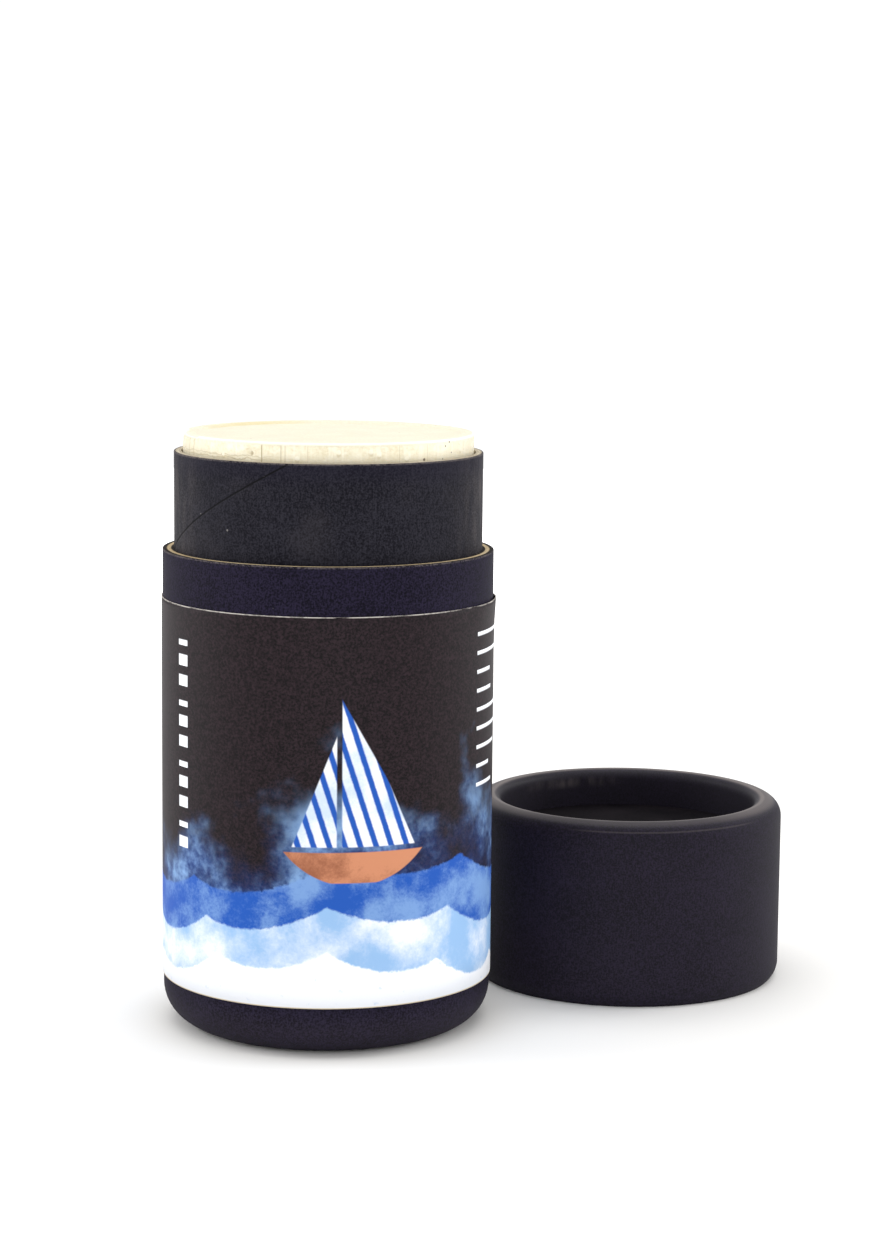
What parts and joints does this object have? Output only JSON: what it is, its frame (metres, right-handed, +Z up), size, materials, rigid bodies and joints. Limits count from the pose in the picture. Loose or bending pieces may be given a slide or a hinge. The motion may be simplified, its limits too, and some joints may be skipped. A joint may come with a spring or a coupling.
{
  "type": "makeup stick",
  "caption": "Cream makeup balm in a push-up paper tube with a printed label, a narrower neck and a push disc, and its paper cap stood beside it.",
  "frame": {"origin": "middle of the rectangle of table that the tube and the cap beside it cover together, at table level", "axes": "+Z up along the tube's axis; +X from the tube's side to the cap's side, as seen from the front; -Y towards the viewer"},
  "size_m": [0.0874, 0.0693, 0.0795],
  "materials": {
    "kraft_board": "matte uncoated",
    "black_paper": "matte, blue-black",
    "charcoal_paper": "matte, slightly fibrous",
    "label_paper": "semi-gloss print ground",
    "white_ink": "semi-gloss print",
    "pale_blue_ink": "semi-gloss print",
    "cobalt_ink": "semi-gloss print",
    "tan_ink": "semi-gloss print",
    "balm": "soft waxy sheen"
  },
  "bodies": {
    "tube": {"body_tube": "kraft_board", "body_wrap": "black_paper", "neck_tube": "kraft_board", "neck_wrap": "charcoal_paper", "label": "label_paper", "print_far_waves": "cobalt_ink", "print_mid_waves": "pale_blue_ink", "print_near_waves": "white_ink", "print_hull": "tan_ink", "print_sails": "white_ink", "print_stripes": "cobalt_ink", "print_bars": "white_ink", "print_rules": "white_ink"},
    "pusher": {"push_disc": "kraft_board", "stick": "balm"},
    "cap": {"cap_tube": "kraft_board", "cap_wrap": "black_paper", "cap_disc": "black_paper"}
  },
  "joints": [
    {"name": "stick_push", "type": "slide", "parent": "tube", "child": "pusher", "axis": [0, 0, 1], "range_m": [-0.0041, 0.0648]},
    {"name": "cap_lift", "type": "slide", "parent": "tube", "child": "cap", "axis": [0, 0, 1], "range_m": [0, 0.09]}
  ]
}
